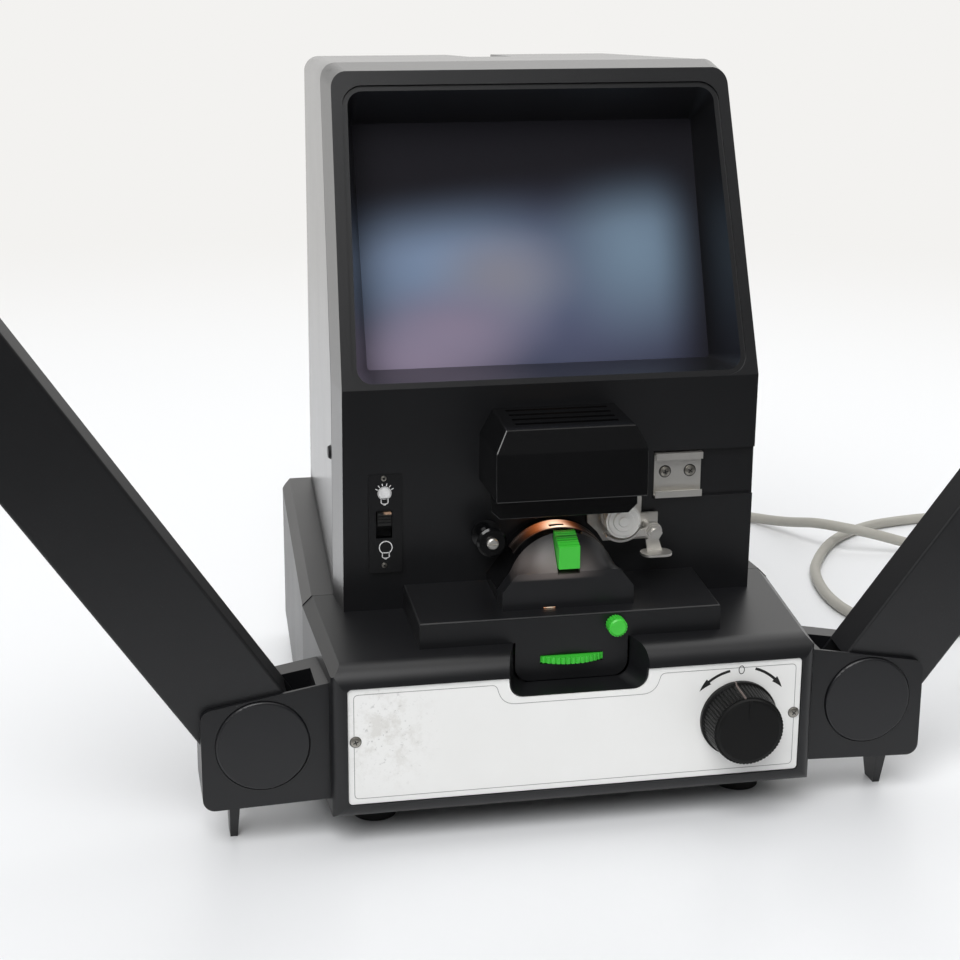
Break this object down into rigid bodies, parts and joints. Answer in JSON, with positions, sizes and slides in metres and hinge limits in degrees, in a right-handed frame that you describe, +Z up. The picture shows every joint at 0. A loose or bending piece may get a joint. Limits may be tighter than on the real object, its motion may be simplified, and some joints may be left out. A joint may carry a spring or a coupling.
{
  "type": "8mm film editor viewer",
  "caption": "Table viewer for narrow cine film: a hooded ground-glass screen over a lit film gate, with a motor drive and two fold-out reel arms.",
  "frame": {"origin": "on the table, in the middle of the width and depth of the object without its cord", "axes": "+X to the right seen from the front, +Y to the back, +Z up"},
  "size_m": [0.6422, 0.451, 0.3043],
  "materials": {
    "case_black": "fine textured black",
    "arm_black": "fine textured black",
    "inner_black": "plain black",
    "gloss_black": "polished black",
    "green": "polished",
    "white_plate": "satin",
    "screen_glass": "ground on the back",
    "clear_glass": "polished",
    "lamp_glass": "frosted",
    "mirror": "front silvered",
    "nickel": "nickel plated",
    "steel": "brushed",
    "brass": "turned",
    "iron": "lacquered core and winding",
    "rubber": "matte",
    "cord_grey": "smooth sheath",
    "socket_white": "moulded"
  },
  "bodies": {
    "case": {"front_housing": "case_black", "rear_housing": "case_black", "bottom_plate": "inner_black", "rubber_feet": "rubber", "housing_screws": "steel", "front_plate": "white_plate", "screen": "screen_glass", "switch_plate": "white_plate", "switch_body": "inner_black", "accessory_shoe": "nickel", "panel_screws": "nickel", "gate_bench": "case_black", "gate_drum": "gloss_black", "film_track": "steel", "gate_cover": "gloss_black", "roller_screw": "nickel", "sprocket_bracket": "steel", "lever_nut": "nickel", "lamp_housing": "gloss_black", "condenser_lens": "clear_glass", "lamp": "lamp_glass", "lamp_socket": "socket_white", "lens_guide": "inner_black", "lower_mirror": "mirror", "rear_mirror": "mirror", "motor": "steel", "transformer": "iron", "speed_control": "inner_black", "drive_belts": "rubber", "left_pivot_block": "case_black", "right_pivot_block": "case_black", "pivot_caps": "gloss_black", "pivot_pins": "steel", "cord_bushing": "rubber", "mains_cord": "cord_grey", "cord_coil": "cord_grey", "mains_plug": "cord_grey"},
    "lamp_switch": {"lamp_switch": "gloss_black"},
    "speed_knob": {"speed_knob": "gloss_black"},
    "marker_button": {"marker_button": "green"},
    "framing_knob": {"framing_knob": "green"},
    "framing_mask": {"framing_mask": "inner_black"},
    "focus_wheel": {"focus_wheel": "green"},
    "lens_barrel": {"lens_barrel": "inner_black", "lens_glass": "clear_glass"},
    "film_roller": {"film_roller": "gloss_black"},
    "film_sprocket": {"film_sprocket": "nickel"},
    "rotary_prism": {"rotary_prism": "clear_glass"},
    "release_lever": {"release_lever": "steel"},
    "motor_pulley": {"motor_pulley": "brass"},
    "left_arm": {"left_arm": "arm_black", "left_arm_cover": "arm_black", "left_arm_belt": "rubber"},
    "right_arm": {"right_arm": "arm_black", "right_arm_cover": "arm_black", "right_arm_belt": "rubber"},
    "left_pivot_pulley": {"left_pivot_pulley": "brass"},
    "right_pivot_pulley": {"right_pivot_pulley": "brass"},
    "left_spindle": {"left_spindle": "gloss_black"},
    "right_spindle": {"right_spindle": "gloss_black"}
  },
  "joints": [
    {"name": "lamp_switch_slide", "type": "slide", "parent": "case", "child": "lamp_switch", "axis": [0, 0, 1], "range_m": [-0.0055, 0]},
    {"name": "speed_knob_turn", "type": "hinge", "parent": "case", "child": "speed_knob", "pos_m": [0.068, -0.11175, 0.0446], "axis": [0, -1, 0], "range_deg": [-75, 75]},
    {"name": "marker_press", "type": "slide", "parent": "case", "child": "marker_button", "axis": [0, 0, -1], "range_m": [0, 0.002], "stiffness_N_per_m": 500, "springref_m": -0.002},
    {"name": "framing_turn", "type": "hinge", "parent": "case", "child": "framing_knob", "pos_m": [0.018, -0.10175, 0.0845], "axis": [0, -1, 0], "range_deg": [-120, 120]},
    {"name": "framing_shift", "type": "slide", "parent": "case", "child": "framing_mask", "axis": [1, 0, 0], "range_m": [-0.00198, 0.00198]},
    {"name": "focus_turn", "type": "hinge", "parent": "case", "child": "focus_wheel", "pos_m": [0, -0.07735, 0.0692], "axis": [0, 0, 1], "range_deg": [-150, 150]},
    {"name": "focus_slide", "type": "slide", "parent": "case", "child": "lens_barrel", "axis": [0, 0, 1], "range_m": [-0.00149, 0.00149]},
    {"name": "roller_spin", "type": "hinge", "parent": "case", "child": "film_roller", "pos_m": [-0.0289, -0.06775, 0.1146], "axis": [0, 1, 0], "continuous": true},
    {"name": "sprocket_spin", "type": "hinge", "parent": "case", "child": "film_sprocket", "pos_m": [0.0275, -0.06775, 0.1205], "axis": [0, 1, 0], "continuous": true},
    {"name": "prism_spin", "type": "hinge", "parent": "case", "child": "rotary_prism", "pos_m": [0, -0.06775, 0.103], "axis": [0, 1, 0], "continuous": true},
    {"name": "lever_swing", "type": "hinge", "parent": "case", "child": "release_lever", "pos_m": [0.0412, -0.07075, 0.1147], "axis": [0, -1, 0], "range_deg": [0, 12], "stiffness_Nm_per_rad": 0.08, "springref_deg": -8.59},
    {"name": "motor_spin", "type": "hinge", "parent": "case", "child": "motor_pulley", "pos_m": [-0.038, -0.09035, 0.0446], "axis": [0, 0.9925, 0.1219], "continuous": true},
    {"name": "left_arm_fold", "type": "hinge", "parent": "case", "child": "left_arm", "pos_m": [-0.1283, -0.09035, 0.0446], "axis": [0, 0.9925, 0.1219], "range_deg": [0, 33]},
    {"name": "right_arm_fold", "type": "hinge", "parent": "case", "child": "right_arm", "pos_m": [0.1283, -0.09035, 0.0446], "axis": [0, -0.9925, -0.1219], "range_deg": [0, 33]},
    {"name": "left_pulley_spin", "type": "hinge", "parent": "case", "child": "left_pivot_pulley", "pos_m": [-0.1283, -0.09035, 0.0446], "axis": [0, 0.9925, 0.1219], "continuous": true},
    {"name": "right_pulley_spin", "type": "hinge", "parent": "case", "child": "right_pivot_pulley", "pos_m": [0.1283, -0.09035, 0.0446], "axis": [0, 0.9925, 0.1219], "continuous": true},
    {"name": "left_spindle_spin", "type": "hinge", "parent": "left_arm", "child": "left_spindle", "pos_m": [-0.25466, -0.11406, 0.23772], "axis": [0, 0.9925, 0.1219], "continuous": true},
    {"name": "right_spindle_spin", "type": "hinge", "parent": "right_arm", "child": "right_spindle", "pos_m": [0.25466, -0.11406, 0.23772], "axis": [0, 0.9925, 0.1219], "continuous": true}
  ],
  "couplings": [
    {"joint": "framing_turn", "follows": "framing_shift", "rad_per_m": 1052.6},
    {"joint": "focus_turn", "follows": "focus_slide", "rad_per_m": 1754.4},
    {"joint": "prism_spin", "follows": "sprocket_spin", "ratio": -1},
    {"joint": "left_pulley_spin", "follows": "motor_spin", "ratio": 0.44444},
    {"joint": "right_pulley_spin", "follows": "motor_spin", "ratio": 0.44444},
    {"joint": "left_spindle_spin", "follows": "motor_spin", "ratio": 0.44444},
    {"joint": "right_spindle_spin", "follows": "motor_spin", "ratio": 0.44444}
  ]
}
